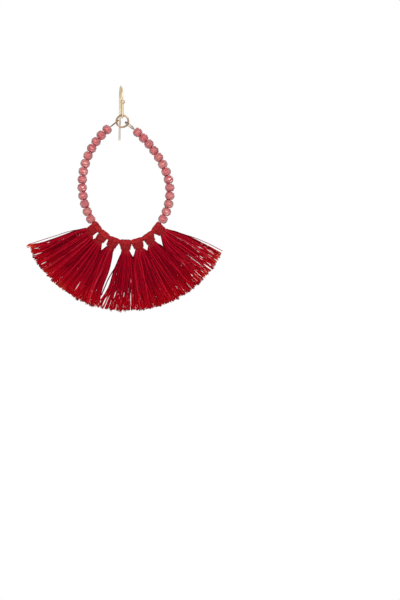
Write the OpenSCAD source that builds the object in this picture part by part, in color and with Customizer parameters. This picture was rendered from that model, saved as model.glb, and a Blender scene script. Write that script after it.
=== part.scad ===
// Tassel earring: a ball-end ear hook, a jump ring, a beaded wire hoop and seven thread tassels
// Millimetres. +Z is up and the hoop is seen face-on along +Y.
// The origin is on the underside of the hook's arch, where the ear carries it.

/* [Ear hook] */
// Thickness of the hook's wire
hook_wire_d = 0.8; // [0.7:0.05:1]
// Radius of the arch over the ear, to the middle of the wire
arch_r = 4.5; // [3.8:0.1:6]
// Radius of the small bend that carries the ring, to the middle of the wire
bend_r = 1.15; // [1:0.05:1.6]
// Underside of the arch down to the middle of the wire at the foot of the small bend
hook_drop = 12.4; // [10:0.1:16]
// Diameter of the ball on the short leg's end
ball_d = 1.85; // [1.4:0.05:2.4]
// Foot of the small bend up to the middle of the ball
ball_rise = 6.15; // [4:0.05:7]
// Straight stretch of the back leg, from the arch down to its bend
back_leg_l = 7.2; // [5:0.1:10]
// Radius of the bend that turns the back leg outwards
tail_bend_r = 8; // [5:0.5:12]
// Angle that the back leg's end stands out by
tail_flare = 15; // [5:1:25]
// Straight stretch at the back leg's end
tail_l = 7.5; // [5:0.1:10]
// Turn of the whole hook about the vertical, as it hangs
hook_turn = 7; // [0:1:15]

/* [Jump ring] */
// Outer diameter of the jump ring
ring_d = 5.5; // [5:0.1:7]
// Thickness of the jump ring's wire
ring_wire_d = 0.75; // [0.6:0.05:0.9]
// Space left between wires that hang in each other
link_gap = 0.12; // [0.08:0.01:0.2]

/* [Hoop wire] */
// Thickness of the hoop's wire
hoop_wire_d = 0.5; // [0.4:0.05:0.6]
// Middle of the jump ring down to the level of the hoop's two ends
end_drop = 2.82; // [2.6:0.02:3.2]
// Width of an eye, to the middle of its wire
eye_w = 2.4; // [2.2:0.05:2.6]
// Space along an eye between the ring's wire and the eye's near end, so that the hoop can swing
eye_play = 0.55; // [0.45:0.05:0.7]
// Turn of the left eye about its own length
left_eye_turn = -6; // [-10:1:0]
// Turn of the right eye about its own length
right_eye_turn = 18; // [8:1:20]
// Single wire between the left eye and its first bead
left_stem_l = 1.05; // [0.3:0.05:1.3]
// Single wire between the right eye and its first bead
right_stem_l = 0.5; // [0.2:0.05:1]

/* [Beads] */
// Number of beads on each side
side_beads = 13; // [11:1:15]
// Largest diameter of a bead
bead_d = 4; // [3.4:0.1:4.6]
// Length of a bead along the wire
bead_l = 3.12; // [2.7:0.02:3.5]
// Space between neighbouring beads
bead_gap = 0.15; // [0.1:0.01:0.3]
// Diameter of a bead's hole
bead_hole_d = 0.9; // [0.8:0.05:1.1]
// Diameter of the flat table round each end of the hole
bead_table_d = 2.3; // [1.8:0.1:2.8]
// Height of the band of facets round a bead's middle
bead_band_l = 0.7; // [0.4:0.05:1.2]
// Facets round a bead
bead_facets = 8; // [8:1:10]

/* [Tassels] */
// Number of tassels
tassels = 7; // [5:2:9]
// Distance from tassel to tassel along the wire
tassel_pitch = 4.74; // [4.4:0.02:5.4]
// Wire down to the tassels' cut ends
tassel_l = 27.7; // [20:0.1:36]
// Width of a tassel's head along the wire
head_w = 4.45; // [3.8:0.05:4.5]
// Thickness of a tassel's head, front to back
head_t = 2.4; // [2:0.1:3]
// Rise of the head over the middle of the wire
head_rise = 1.25; // [0.8:0.05:1.4]
// Middle of the wire down to the neck
head_l = 0.65; // [0.6:0.05:1.2]
// Diameter of the hole that the wire passes through
head_hole_d = 1.1; // [0.9:0.05:1.2]
// Width of the neck's top inside its binding
neck_w = 3.45; // [3:0.05:3.6]
// Width of the neck's foot inside its binding
neck_foot_w = 2.7; // [2.4:0.05:3]
// Thickness of the neck inside its binding, front to back
neck_t = 1.9; // [1.6:0.05:2.2]
// Turns of thread in the binding
wrap_turns = 6; // [4:1:8]
// Thickness of the binding's thread
wrap_thread_d = 0.42; // [0.3:0.02:0.5]
// Space between the binding and the neck
wrap_gap = 0.1; // [0.08:0.01:0.15]
// Locks of thread in each skirt
locks = 5; // [4:1:6]
// Thickness of a skirt below its neck, front to back
skirt_t = 2.6; // [2:0.1:3.4]
// Space between neighbouring skirts
skirt_gap = 0.3; // [0.2:0.05:0.6]

/* [Hidden] */
$fn = 32;
function numbered(stem, count) =
    [for (i = [1:count]) str(stem, i < 10 && count > 9 ? "0" : "", i)];

// Hoop: its shape, from the foot up each side, is a chain of arcs that run smoothly into each other
// Columns: radius as a share of half the strung wire, and the degrees that the arc turns through
RADIUS = 0;
SWEEP = 1;
left_arcs = [[0.259, 55], [0.495, 120]];
right_arcs = [[0.259, 47], [0.383, 70], [0.798, 120]];
// A place on the hoop is [x, z, heading], with the heading in degrees above +X
X = 0;
Z = 1;
HEADING = 2;
bead_pitch = bead_l + bead_gap;
half_fringe = tassels * tassel_pitch / 2;
half_string = half_fringe + side_beads * bead_pitch;

function lerp(a, b, t) = a + (b - a) * t;
function degrees(arc_length, radius) = arc_length / radius * 180 / PI;
function arc_radius(arcs, i) = arcs[i][RADIUS] * half_string;
function arc_length(arcs, i) = arc_radius(arcs, i) * arcs[i][SWEEP] * PI / 180;
function step(at, radius, sweep) = [
    at[X] + radius * (sin(at[HEADING] + sweep) - sin(at[HEADING])),
    at[Z] + radius * (cos(at[HEADING]) - cos(at[HEADING] + sweep)),
    at[HEADING] + sweep
];
// Place where arc i starts
function arc_start(arcs, i) =
    i == 0 ? [0, 0, 0] : step(arc_start(arcs, i - 1), arc_radius(arcs, i - 1), arcs[i - 1][SWEEP]);
// Place at a distance along the chain
function along(arcs, distance, i = 0) =
    i < len(arcs) - 1 && distance > arc_length(arcs, i)
        ? along(arcs, distance - arc_length(arcs, i), i + 1)
        : step(arc_start(arcs, i), arc_radius(arcs, i), degrees(distance, arc_radius(arcs, i)));
// Place on the whole hoop, to the right of its foot for a positive distance
function mirrored(at) = [-at[X], at[Z], -at[HEADING]];
function on_hoop(distance) =
    distance < 0 ? mirrored(along(left_arcs, -distance)) : along(right_arcs, distance);

// Where the hoop hangs: its two ends lie evenly about the jump ring
hook_wire_r = hook_wire_d / 2;
ring_wire_r = ring_wire_d / 2;
hoop_wire_r = hoop_wire_d / 2;
ring_r = ring_d / 2 - ring_wire_r;
ring_hang = ring_r - ring_wire_r - hook_wire_r - link_gap;
bend_reach = arch_r + bend_r;
ring_at = [bend_reach * sin(hook_turn), -bend_reach * cos(hook_turn), -hook_drop - ring_hang];
left_end = on_hoop(-half_string);
right_end = on_hoop(half_string);
ends_middle = [(left_end[X] + right_end[X]) / 2, 0, (left_end[Z] + right_end[Z]) / 2];
hoop_at = ring_at - ends_middle - [0, 0, end_drop];

// Eyes: each lies in line with its end of the hoop and reaches past the ring's wire
eye_hook = ring_wire_r + hoop_wire_r + eye_play;
left_way = -[cos(left_end[HEADING]), sin(left_end[HEADING])];
right_way = [cos(right_end[HEADING]), sin(right_end[HEADING])];
// Distance from one end of the hoop, straight on, to the middle of the ring's wire
function to_ring(end, way) =
    let (from = [end[X] + hoop_at[0] - ring_at[0], end[Z] + hoop_at[2] - ring_at[2]])
    let (ahead = -(from * way))
    ahead - sqrt(ahead * ahead - from * from + ring_r * ring_r);

module at_hoop(distance) {
    at = on_hoop(distance);
    translate([at[X], 0, at[Z]])
        rotate([0, -at[HEADING], 0])
            children();
}

// Rings of points joined into a solid, which is a tube closed on itself or has a flat cap at each end
module loft(rings, closed = false) {
    count = len(rings[0]);
    total = len(rings) * count;
    spans = len(rings) - (closed ? 0 : 1);
    sides = [for (j = [0:spans - 1]) for (k = [0:count - 1])
        let (a = j * count + k, b = j * count + (k + 1) % count)
        let (c = (a + count) % total, d = (b + count) % total)
            each [[a, b, c], [b, d, c]]];
    caps = closed ? [] : [
        [for (k = [count - 1:-1:0]) k],
        [for (k = [total - count:total - 1]) k]
    ];
    polyhedron(points = [for (ring = rings) each ring], faces = concat(sides, caps));
}

// A round wire swept along places in the XZ plane
wire_sides = 8;
function wire_ring(at, thickness) =
    [for (k = [0:wire_sides - 1])
        let (a = k * 360 / wire_sides, out = thickness / 2 * cos(a))
            [at[X] - out * sin(at[HEADING]), thickness / 2 * sin(a), at[Z] + out * cos(at[HEADING])]];
module swept_wire(places, thickness, closed = false) {
    loft([for (at = places) wire_ring(at, thickness)], closed);
}

// A bent stretch of wire, a hair thinner than the straight ones that it laps into
bend_lap = 0.09;
bend_thinning = 0.01;
module wire_bend(radius, sweep, thickness) {
    lap = degrees(bend_lap, radius);
    rotate([0, 0, -lap])
        rotate_extrude(angle = sweep + 2 * lap)
            translate([radius, 0])
                circle(d = thickness - bend_thinning);
}

module ear_hook() {
    bend_at = [0, -bend_reach, bend_r - hook_drop];
    arch_z = hook_wire_r - arch_r;
    ball_z = ball_rise - hook_drop;
    flare_z = arch_z - back_leg_l;
    flare_foot = [arch_r + tail_bend_r * (1 - cos(tail_flare)), flare_z - tail_bend_r * sin(tail_flare)];
    color("#c9b48c")
    rotate([0, 0, hook_turn]) {
        translate([0, bend_at[1] - bend_r, ball_z])
            sphere(d = ball_d);
        translate([0, bend_at[1] - bend_r, bend_at[2]])
            cylinder(d = hook_wire_d, h = ball_z - bend_at[2]);
        translate(bend_at)
            rotate([90, 0, -90])
                rotate([0, 0, 180])
                    wire_bend(bend_r, 180, hook_wire_d);
        translate([0, -arch_r, bend_at[2]])
            cylinder(d = hook_wire_d, h = arch_z - bend_at[2]);
        translate([0, 0, arch_z])
            rotate([90, 0, -90])
                wire_bend(arch_r, 180, hook_wire_d);
        translate([0, arch_r, flare_z])
            cylinder(d = hook_wire_d, h = back_leg_l);
        translate([0, arch_r + tail_bend_r, flare_z])
            rotate([90, 0, 90])
                rotate([0, 0, 180])
                    wire_bend(tail_bend_r, tail_flare, hook_wire_d);
        translate([0, flare_foot[0], flare_foot[1]])
            rotate([180 + tail_flare, 0, 0]) {
                cylinder(d = hook_wire_d, h = tail_l);
                translate([0, 0, tail_l])
                    sphere(d = hook_wire_d);
            }
    }
}

module jump_ring() {
    color("#a88a5c")
    translate(ring_at)
        rotate([90, 0, 0])
            rotate_extrude()
                translate([ring_r, 0])
                    circle(d = ring_wire_d);
}

// An eye along +X: the ring's wire crosses at the origin, and the eye's far end is at reach
eye_steps = 10;
module eye(reach) {
    end_r = eye_w / 2;
    round_ends = [[end_r - eye_hook, 90], [reach - end_r, -90]];
    places = [for (end = round_ends) for (i = [0:eye_steps])
        let (a = end[1] + i * 180 / eye_steps)
            [end[0] + end_r * cos(a), end_r * sin(a), a + 90]];
    swept_wire(places, hoop_wire_d, closed = true);
}

module eye_at(end, way, stem_l, turn) {
    span = to_ring(end, way);
    translate([end[X] + span * way[0], 0, end[Z] + span * way[1]])
        rotate([0, 180 - atan2(way[1], way[0]), 0])
            rotate([90 + turn, 0, 0])
                eye(span - stem_l);
}

hoop_steps = 84;
function straight_on(end, way, length) =
    [end[X] + length * way[0], end[Z] + length * way[1], end[HEADING]];
module hoop_wire() {
    places = concat(
        [straight_on(left_end, left_way, left_stem_l)],
        [for (i = [0:hoop_steps]) on_hoop(half_string * (2 * i / hoop_steps - 1))],
        [straight_on(right_end, right_way, right_stem_l)]
    );
    color("#a88a5c")
    translate(hoop_at) {
        swept_wire(places, hoop_wire_d);
        eye_at(left_end, left_way, left_stem_l, left_eye_turn);
        eye_at(right_end, right_way, right_stem_l, right_eye_turn);
    }
}

function bead_ring(d, z, turn) =
    [for (k = [0:bead_facets - 1])
        let (a = (k + turn) * 360 / bead_facets)
            [d / 2 * cos(a), d / 2 * sin(a), z]];

// Shoulder between a bead's two rows of facets: share of the way from the table down to the middle band,
// and share of the way out to the full diameter
bead_shoulder_down = 0.38;
bead_shoulder_out = 0.68;

// A rondelle along +X, with a flat table at each end, two rows of facets and a band of them round the middle
module bead() {
    shoulder_d = lerp(bead_table_d, bead_d, bead_shoulder_out);
    shoulder_z = lerp(bead_l, bead_band_l, bead_shoulder_down) / 2;
    rings = [
        bead_ring(bead_table_d, bead_l / 2, 0),
        bead_ring(shoulder_d, shoulder_z, 0.5),
        bead_ring(bead_d, bead_band_l / 2, 0),
        bead_ring(bead_d, -bead_band_l / 2, 0.5),
        bead_ring(shoulder_d, -shoulder_z, 0),
        bead_ring(bead_table_d, -bead_l / 2, 0.5)
    ];
    color("#d0656b")
    rotate([0, 90, 0])
        difference() {
            loft(rings);
            cylinder(d = bead_hole_d, h = bead_l + 1, center = true);
        }
}

// Bead on one side, counted from the top, each turned differently on the wire
bead_turn = 31;
function bead_distance(index) = half_string - (index - 0.5) * bead_pitch;
module bead_at(distance, index) {
    translate(hoop_at)
        at_hoop(distance)
            rotate([bead_turn * index * index, 0, 0])
                bead();
}
module bead_left(index) {
    bead_at(-bead_distance(index), index);
}
module bead_right(index) {
    bead_at(bead_distance(index), side_beads + index);
}

// Tassels: the skirts are laid out in a fan about the middle of the hoop's lowest arc
fan_middle = arc_radius(right_arcs, 0);
fan_r = fan_middle + tassel_l;
// The binding's turns press into each other a little: from one to the next is this share of the thread
wrap_step_share = 0.9;
wrap_step = wrap_thread_d * wrap_step_share;
wrap_l = (wrap_turns - 1) * wrap_step + wrap_thread_d;
neck_l = wrap_l + 2 * wrap_gap;
function tassel_distance(index) = (index - (tassels + 1) / 2) * tassel_pitch;

// Profile of a head from its top down to the neck's foot
// Columns: height as a share of the rise or of the drop to the neck, width share, thickness share
head_rows = [
    [1, 0.7, 0.4],
    [0.72, 0.92, 0.8],
    [0, 1, 1],
    [-0.55, 0.97, 1]
];
head_points = 16;
function head_ring(w, t, z) =
    [for (k = [0:head_points - 1])
        let (a = k * 360 / head_points)
            [w / 2 * cos(a), t / 2 * sin(a), z]];
module head() {
    loft(concat(
        [for (row = head_rows)
            let (z = row[0] > 0 ? row[0] * head_rise : row[0] * head_l)
                head_ring(row[1] * head_w, row[2] * head_t, z)],
        [head_ring(neck_w, neck_t, -head_l), head_ring(neck_foot_w, neck_t, -head_l - neck_l)]
    ));
}

// Profile of a skirt from the neck out to the cut ends
// Columns: share of the way, share of the full width reached, thickness as a share of skirt_t
skirt_rows = [
    [-0.02, 0, 0.42],
    [0.005, 0, 0.46],
    [0.03, 0.36, 0.85],
    [0.08, 0.76, 1],
    [0.16, 1, 1],
    [0.45, 1, 0.92],
    [0.92, 1, 0.74],
    [1, 0.86, 0.5]
];
lock_overlap_share = 0.22;
lock_points = 8;
// Width of a skirt where it leaves the neck, as a share of the neck's
skirt_foot_share = 0.92;
// Share of its full width at which a skirt lies midway between its neighbours
skirt_centred_share = 0.83;
// Reach of each lock as a share of the skirt, used in turn, and the share of the way from which it counts
lock_reaches = [0.965, 1, 0.985, 1, 0.97, 0.99, 0.975];
lock_ends_share = 0.5;
// Foot of the neck as [radius, angle] about the fan's middle
function neck_foot(index) =
    let (at = on_hoop(tassel_distance(index)), reach = head_l + neck_l)
    let (x = at[0] + reach * sin(at[2]), z = at[1] - reach * cos(at[2]) - fan_middle)
    [norm([x, z]), atan2(x, -z)];
// Where neighbouring skirts part at their cut ends, as the hanging threads fall
// Columns: place along the fringe from -1 to 1, angle as a share of the fringe's half angle
skirt_partings = [
    [-1, -1.09],
    [-0.714, -0.752],
    [-0.429, -0.459],
    [-0.143, -0.248],
    [0.143, 0.113],
    [0.429, 0.419],
    [0.714, 0.692],
    [1, 1.024]
];
// Slits that stay open between two skirts and close towards the cut ends
// Columns: place along the fringe from -1 to 1, width at the necks as a share of tassel_pitch
skirt_slits = [
    [-0.3, 0],
    [-0.143, 0.62],
    [0, 0]
];
// Angle of the boundary between two skirts, from their necks out to their cut ends
function skirt_edge(i, share) =
    let (place = 2 * i / tassels - 1)
    degrees(half_fringe, fan_middle) * lerp(place, lookup(place, skirt_partings), share);
function slit_w(i, share) = tassel_pitch * lookup(2 * i / tassels - 1, skirt_slits) * (1 - share);
function lock_ring(index, lock, row) =
    let (foot = neck_foot(index))
    let (reach = lock_reaches[(lock + 2 * index) % len(lock_reaches)])
    let (share = row[0] * (row[0] > lock_ends_share ? reach : 1))
    let (radius = lerp(foot[0], fan_r, share))
    let (low = skirt_edge(index - 1, share) + degrees(slit_w(index - 1, share) / 2, radius))
    let (high = skirt_edge(index, share) - degrees(slit_w(index, share) / 2, radius))
    let (full_w = radius * (high - low) * PI / 180 - skirt_gap)
    let (w = lerp(neck_foot_w * skirt_foot_share, full_w, row[1]))
    let (middle = lerp(foot[1], (low + high) / 2, min(1, row[1] / skirt_centred_share)))
    let (lock_w = w / (locks - (locks - 1) * lock_overlap_share))
    let (offset = -w / 2 + lock_w / 2 + lock * lock_w * (1 - lock_overlap_share))
    let (angle = middle + degrees(offset, radius), half_t = row[2] * skirt_t / 2)
    [for (k = [0:lock_points - 1])
        let (a = (k + 0.5) * 360 / lock_points)
        let (side = lock_w / 2 * cos(a) / cos(180 / lock_points))
            [radius * sin(angle) + side * cos(angle),
             half_t * sin(a) / cos(180 / lock_points),
             fan_middle - radius * cos(angle) + side * sin(angle)]];
module skirt(index) {
    for (lock = [0:locks - 1])
        loft([for (row = skirt_rows) lock_ring(index, lock, row)]);
}

module tassel(index) {
    color("#a5121c")
    translate(hoop_at)
        difference() {
            union() {
                at_hoop(tassel_distance(index))
                    head();
                skirt(index);
            }
            at_hoop(tassel_distance(index))
                rotate([0, 90, 0])
                    cylinder(d = head_hole_d, h = head_w + 1, center = true);
        }
}

// Outline of one turn of the binding
// Columns: height as a share of the step from turn to turn, bulge as a share of the thread's thickness
wrap_rows = [
    [-0.5, 0.72],
    [-0.22, 1],
    [0.22, 1]
];
// Ring round the neck at a height below the wire, a distance out from the neck's surface
function wrap_ring(out, down) =
    let (share = (down - head_l) / neck_l)
    head_ring(lerp(neck_w, neck_foot_w, share) + 2 * out, neck_t + 2 * out, -down);
module tassel_wrap(index) {
    top = head_l + wrap_gap;
    first = top + wrap_thread_d / 2;
    foot = top + wrap_l;
    turns = [for (turn = [0:wrap_turns - 1]) for (row = wrap_rows)
        wrap_ring(wrap_gap + row[1] * wrap_thread_d, first + (turn + row[0]) * wrap_step)];
    color("#8e1a20")
    translate(hoop_at)
        at_hoop(tassel_distance(index))
            loft(concat(
                turns,
                [wrap_ring(wrap_gap + wrap_rows[0][1] * wrap_thread_d, foot)],
                [wrap_ring(wrap_gap, foot), wrap_ring(wrap_gap, top)]
            ), closed = true);
}

ear_hook();
jump_ring();
hoop_wire();
for (i = [1:side_beads]) {
    bead_left(i);
    bead_right(i);
}
for (i = [1:tassels]) {
    tassel(i);
    tassel_wrap(i);
}
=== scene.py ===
"""Tassel earring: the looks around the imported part.

Lengths are in millimetres, except where a comment says metres. Angles are in degrees.
"""

import math
import random

import bpy
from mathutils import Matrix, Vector


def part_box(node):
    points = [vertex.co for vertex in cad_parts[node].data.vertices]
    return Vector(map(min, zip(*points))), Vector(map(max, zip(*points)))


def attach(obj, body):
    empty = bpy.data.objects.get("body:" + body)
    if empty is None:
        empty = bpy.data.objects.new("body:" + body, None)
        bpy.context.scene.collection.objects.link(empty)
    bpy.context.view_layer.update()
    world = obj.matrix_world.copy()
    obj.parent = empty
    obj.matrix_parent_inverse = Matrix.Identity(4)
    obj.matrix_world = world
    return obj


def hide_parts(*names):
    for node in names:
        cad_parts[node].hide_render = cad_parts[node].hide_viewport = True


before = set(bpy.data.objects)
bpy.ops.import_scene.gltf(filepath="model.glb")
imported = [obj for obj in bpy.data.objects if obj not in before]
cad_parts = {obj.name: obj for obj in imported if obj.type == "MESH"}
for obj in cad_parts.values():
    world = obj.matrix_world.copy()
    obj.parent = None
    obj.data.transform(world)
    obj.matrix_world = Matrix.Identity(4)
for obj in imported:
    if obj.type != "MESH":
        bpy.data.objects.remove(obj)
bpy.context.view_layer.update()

MM = 0.001

# The ring, the hoop and what hangs on it, as the solids have them
HOOP_WIRE_D = 0.5
RING_WIRE_R = 0.375
# From the ring's middle to the middle of its wire
RING_R = 2.375
# Height of the ring's middle over the ends of the strung wire
END_DROP = 2.82
EYE_W = 2.4
EYE_PLAY = 0.55
LEFT_EYE_TURN = -6
RIGHT_EYE_TURN = 18
LEFT_STEM_L = 1.05
RIGHT_STEM_L = 0.5
SIDE_BEADS = 13
BEAD_PITCH = 3.27
TASSELS = 7
TASSEL_PITCH = 4.74
TASSEL_L = 27.7
HEAD_L = 0.65
NECK_T = 1.9
SKIRT_T = 2.6
WRAP_TURNS = 6
WRAP_THREAD_D = 0.42
WRAP_STEP_SHARE = 0.9
# Room between a neck and its binding
WRAP_GAP = 0.1

# Chain of arcs from the hoop's foot up each side: radius as a share of half the strung wire, degrees
LEFT_ARCS = ((0.259, 55), (0.495, 120))
RIGHT_ARCS = ((0.259, 47), (0.383, 70), (0.798, 120))
HALF_FRINGE = TASSELS * TASSEL_PITCH / 2
HALF_STRING = HALF_FRINGE + SIDE_BEADS * BEAD_PITCH


def lerp(a, b, t):
    return a + (b - a) * t


def clamp(value, low=0.0, high=1.0):
    return max(low, min(high, value))


def ramp_up(value, start, end):
    """0 below start, 1 above end and a smooth rise between."""
    t = clamp((value - start) / (end - start))
    return t * t * (3 - 2 * t)


def look_up(table, x):
    """Value at x of a table of (x, value) rows, straight between the rows."""
    if x <= table[0][0]:
        return table[0][1]
    for (x0, y0), (x1, y1) in zip(table, table[1:]):
        if x <= x1:
            return lerp(y0, y1, (x - x0) / (x1 - x0))
    return table[-1][1]


def arc_step(at, radius, sweep):
    """(x, z, heading) at the end of an arc that starts at another one."""
    x, z, heading = at
    start = math.radians(heading)
    end = math.radians(heading + sweep)
    return (
        x + radius * (math.sin(end) - math.sin(start)),
        z + radius * (math.cos(start) - math.cos(end)),
        heading + sweep,
    )


def on_hoop(distance):
    """(x, z, heading) at a distance from the hoop's foot, to the right for a positive one."""
    arcs = LEFT_ARCS if distance < 0 else RIGHT_ARCS
    left = abs(distance)
    at = (0.0, 0.0, 0.0)
    for number, (share, sweep) in enumerate(arcs):
        radius = share * HALF_STRING
        length = radius * math.radians(sweep)
        if left <= length or number == len(arcs) - 1:
            at = arc_step(at, radius, math.degrees(left / radius))
            break
        at = arc_step(at, radius, sweep)
        left -= length
    if distance < 0:
        return (-at[0], at[1], -at[2])
    return at


def box_centre(node):
    low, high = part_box(node)
    return (low + high) / 2 / MM


RING_AT = box_centre("jump_ring")
LEFT_END = on_hoop(-HALF_STRING)
RIGHT_END = on_hoop(HALF_STRING)
ENDS_MIDDLE = Vector(((LEFT_END[0] + RIGHT_END[0]) / 2, 0, (LEFT_END[1] + RIGHT_END[1]) / 2))
# The hoop's foot
HOOP_AT = RING_AT - ENDS_MIDDLE - Vector((0, 0, END_DROP))
# The fringe fans out from a point FAN_MIDDLE above the foot, and its cut ends are FAN_R from there
FAN_MIDDLE = RIGHT_ARCS[0][0] * HALF_STRING
FAN_R = FAN_MIDDLE + TASSEL_L
WRAP_STEP = WRAP_THREAD_D * WRAP_STEP_SHARE
WRAP_TOP_R = FAN_MIDDLE + HEAD_L + WRAP_GAP + WRAP_THREAD_D / 2
WRAP_FOOT_R = WRAP_TOP_R + (WRAP_TURNS - 1) * WRAP_STEP


# Shader nodes

def set_inputs(made, **inputs):
    """Set a node's inputs by name. An underscore in a name stands for a space."""
    for name, value in inputs.items():
        made.inputs[name.replace("_", " ")].default_value = value


def node(tree, kind, **inputs):
    made = tree.nodes.new(kind)
    set_inputs(made, **inputs)
    return made


def new_material(name):
    material = bpy.data.materials.new(name)
    material.use_nodes = True
    tree = material.node_tree
    return material, tree, tree.nodes["Principled BSDF"]


def math_node(tree, operation, first, second=None):
    made = tree.nodes.new("ShaderNodeMath")
    made.operation = operation
    for socket, value in zip(made.inputs, (first, second)):
        if value is None:
            continue
        if isinstance(value, (int, float)):
            socket.default_value = value
        else:
            tree.links.new(value, socket)
    return made.outputs[0]


def plus(tree, first, second):
    return math_node(tree, "ADD", first, second)


def times(tree, first, second):
    return math_node(tree, "MULTIPLY", first, second)


def fade(tree, value, start, end, most, least=0.0):
    """least where value is start, most where it is end, and a straight change between."""
    made = node(tree, "ShaderNodeMapRange", From_Min=start, From_Max=end, To_Min=least, To_Max=most)
    tree.links.new(value, made.inputs["Value"])
    return made.outputs["Result"]


def noise(tree, vector, scale, detail=1, roughness=0.5):
    made = node(tree, "ShaderNodeTexNoise", Scale=scale, Detail=detail, Roughness=roughness)
    tree.links.new(vector, made.inputs["Vector"])
    return made.outputs["Fac"]


def ramp(tree, factor, stops):
    """Colour ramp through (place, red, green, blue) stops."""
    made = tree.nodes.new("ShaderNodeValToRGB")
    elements = made.color_ramp.elements
    while len(elements) < len(stops):
        elements.new(0.5)
    for element, (place, red, green, blue) in zip(elements, stops):
        element.position = place
        element.color = (red, green, blue, 1)
    tree.links.new(factor, made.inputs["Fac"])
    return made.outputs["Color"]


def mix_colour(tree, factor, first, second):
    made = tree.nodes.new("ShaderNodeMix")
    made.data_type = "RGBA"
    tree.links.new(factor, made.inputs["Factor"])
    for socket, value in ((made.inputs[6], first), (made.inputs[7], second)):
        if isinstance(value, tuple):
            socket.default_value = (*value, 1)
        else:
            tree.links.new(value, socket)
    return made.outputs[2]


def bump(tree, height, distance, strength):
    """Normal of a relief. The distance is in metres."""
    made = node(tree, "ShaderNodeBump", Distance=distance, Strength=strength)
    tree.links.new(height, made.inputs["Height"])
    return made.outputs["Normal"]


def split_xyz(tree, vector):
    made = tree.nodes.new("ShaderNodeSeparateXYZ")
    tree.links.new(vector, made.inputs[0])
    return made.outputs["X"], made.outputs["Y"], made.outputs["Z"]


def object_point(tree):
    return tree.nodes.new("ShaderNodeTexCoord").outputs["Object"]


# Camera, floor and light

PHOTO_W = 400
PHOTO_H = 600
MM_PER_PIXEL = 0.4
# Where the photo shows the middle of the jump ring
RING_PIXEL = (122.4, 121.2)
# In metres
CAMERA_AWAY = 1.2
CAMERA_CLIP = (0.01, 20)
SENSOR = 36
# Strength of the room's light: everywhere, added from the front and back, and added from above
ROOM_DIM = 0.3
ROOM_FRONT = 0.6
ROOM_TOP = 0.25
ROOM_FOCUS = 3
WHITE = (1, 1, 1, 1)
# In metres
FLOOR_Z = -0.26
FLOOR_R = 0.5
FLOOR_SIDES = 96
FLOOR_GREY = 0.93
# Soft lights: name, place as seen from the hoop's foot and size, in metres, and watts
LIGHTS = (
    ("key", (0.35, -0.85, 0.55), (0.3, 0.3), 4.5),
    ("fill", (-0.6, -0.85, 0.1), (0.5, 0.7), 1.6),
    ("back", (0.2, 0.9, 0.5), (0.6, 0.6), 2.5),
)


def photo_point(px, py):
    """Point in the ring's plane that the photo shows at a pixel."""
    across = (px - RING_PIXEL[0]) * MM_PER_PIXEL
    down = (py - RING_PIXEL[1]) * MM_PER_PIXEL
    return RING_AT + Vector((across, 0, -down))


def add_camera():
    """A camera straight in front of the ring's plane, which it frames as the photo does."""
    middle = photo_point(PHOTO_W / 2, PHOTO_H / 2) * MM
    data = bpy.data.cameras.new("camera")
    data.type = "PERSP"
    data.sensor_width = SENSOR
    data.lens = SENSOR * CAMERA_AWAY / (PHOTO_H * MM_PER_PIXEL * MM)
    data.clip_start, data.clip_end = CAMERA_CLIP
    camera = bpy.data.objects.new("camera", data)
    camera.location = middle - Vector((0, CAMERA_AWAY, 0))
    camera.rotation_euler = (math.radians(90), 0, 0)
    bpy.context.scene.collection.objects.link(camera)
    bpy.context.scene.camera = camera


def add_light(name, offset, size, watts):
    """A rectangular light that faces the hoop's foot."""
    aim = HOOP_AT * MM
    place = aim + Vector(offset)
    data = bpy.data.lights.new(name, "AREA")
    data.shape = "RECTANGLE"
    data.size, data.size_y = size
    data.energy = watts
    light = bpy.data.objects.new(name, data)
    light.location = place
    light.rotation_euler = (aim - place).to_track_quat("-Z", "Y").to_euler()
    bpy.context.scene.collection.objects.link(light)


def add_world():
    """A white room, whose light comes from the front, the back and above, less from the sides."""
    world = bpy.data.worlds.new("studio")
    world.use_nodes = True
    tree = world.node_tree
    tree.nodes.clear()
    _, depth, height = split_xyz(tree, tree.nodes.new("ShaderNodeTexCoord").outputs["Generated"])
    front = math_node(tree, "POWER", math_node(tree, "ABSOLUTE", depth), ROOM_FOCUS)
    above = math_node(tree, "MAXIMUM", height, 0)
    strength = plus(tree, times(tree, front, ROOM_FRONT), ROOM_DIM)
    strength = plus(tree, times(tree, above, ROOM_TOP), strength)
    lit = node(tree, "ShaderNodeBackground", Color=WHITE)
    tree.links.new(strength, lit.inputs["Strength"])
    seen = node(tree, "ShaderNodeBackground", Color=WHITE, Strength=1.0)
    path = tree.nodes.new("ShaderNodeLightPath")
    mix = tree.nodes.new("ShaderNodeMixShader")
    tree.links.new(path.outputs["Is Camera Ray"], mix.inputs["Fac"])
    tree.links.new(lit.outputs[0], mix.inputs[1])
    tree.links.new(seen.outputs[0], mix.inputs[2])
    output = tree.nodes.new("ShaderNodeOutputWorld")
    tree.links.new(mix.outputs[0], output.inputs["Surface"])
    bpy.context.scene.world = world


def add_floor():
    material, _, shader = new_material("floor")
    set_inputs(shader, Base_Color=(FLOOR_GREY, FLOOR_GREY, FLOOR_GREY, 1), Roughness=0.8)
    turns = [k * math.tau / FLOOR_SIDES for k in range(FLOOR_SIDES)]
    rim = [(FLOOR_R * math.cos(turn), FLOOR_R * math.sin(turn), 0) for turn in turns]
    mesh = bpy.data.meshes.new("floor")
    mesh.from_pydata(rim, [], [list(range(FLOOR_SIDES))])
    mesh.materials.append(material)
    floor = bpy.data.objects.new("floor", mesh)
    floor.location = (HOOP_AT.x * MM, HOOP_AT.y * MM, FLOOR_Z)
    bpy.context.scene.collection.objects.link(floor)


def add_studio():
    add_camera()
    add_world()
    add_floor()
    for name, offset, size, watts in LIGHTS:
        add_light(name, offset, size, watts)
    bpy.context.scene.view_settings.view_transform = "Standard"


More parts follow.
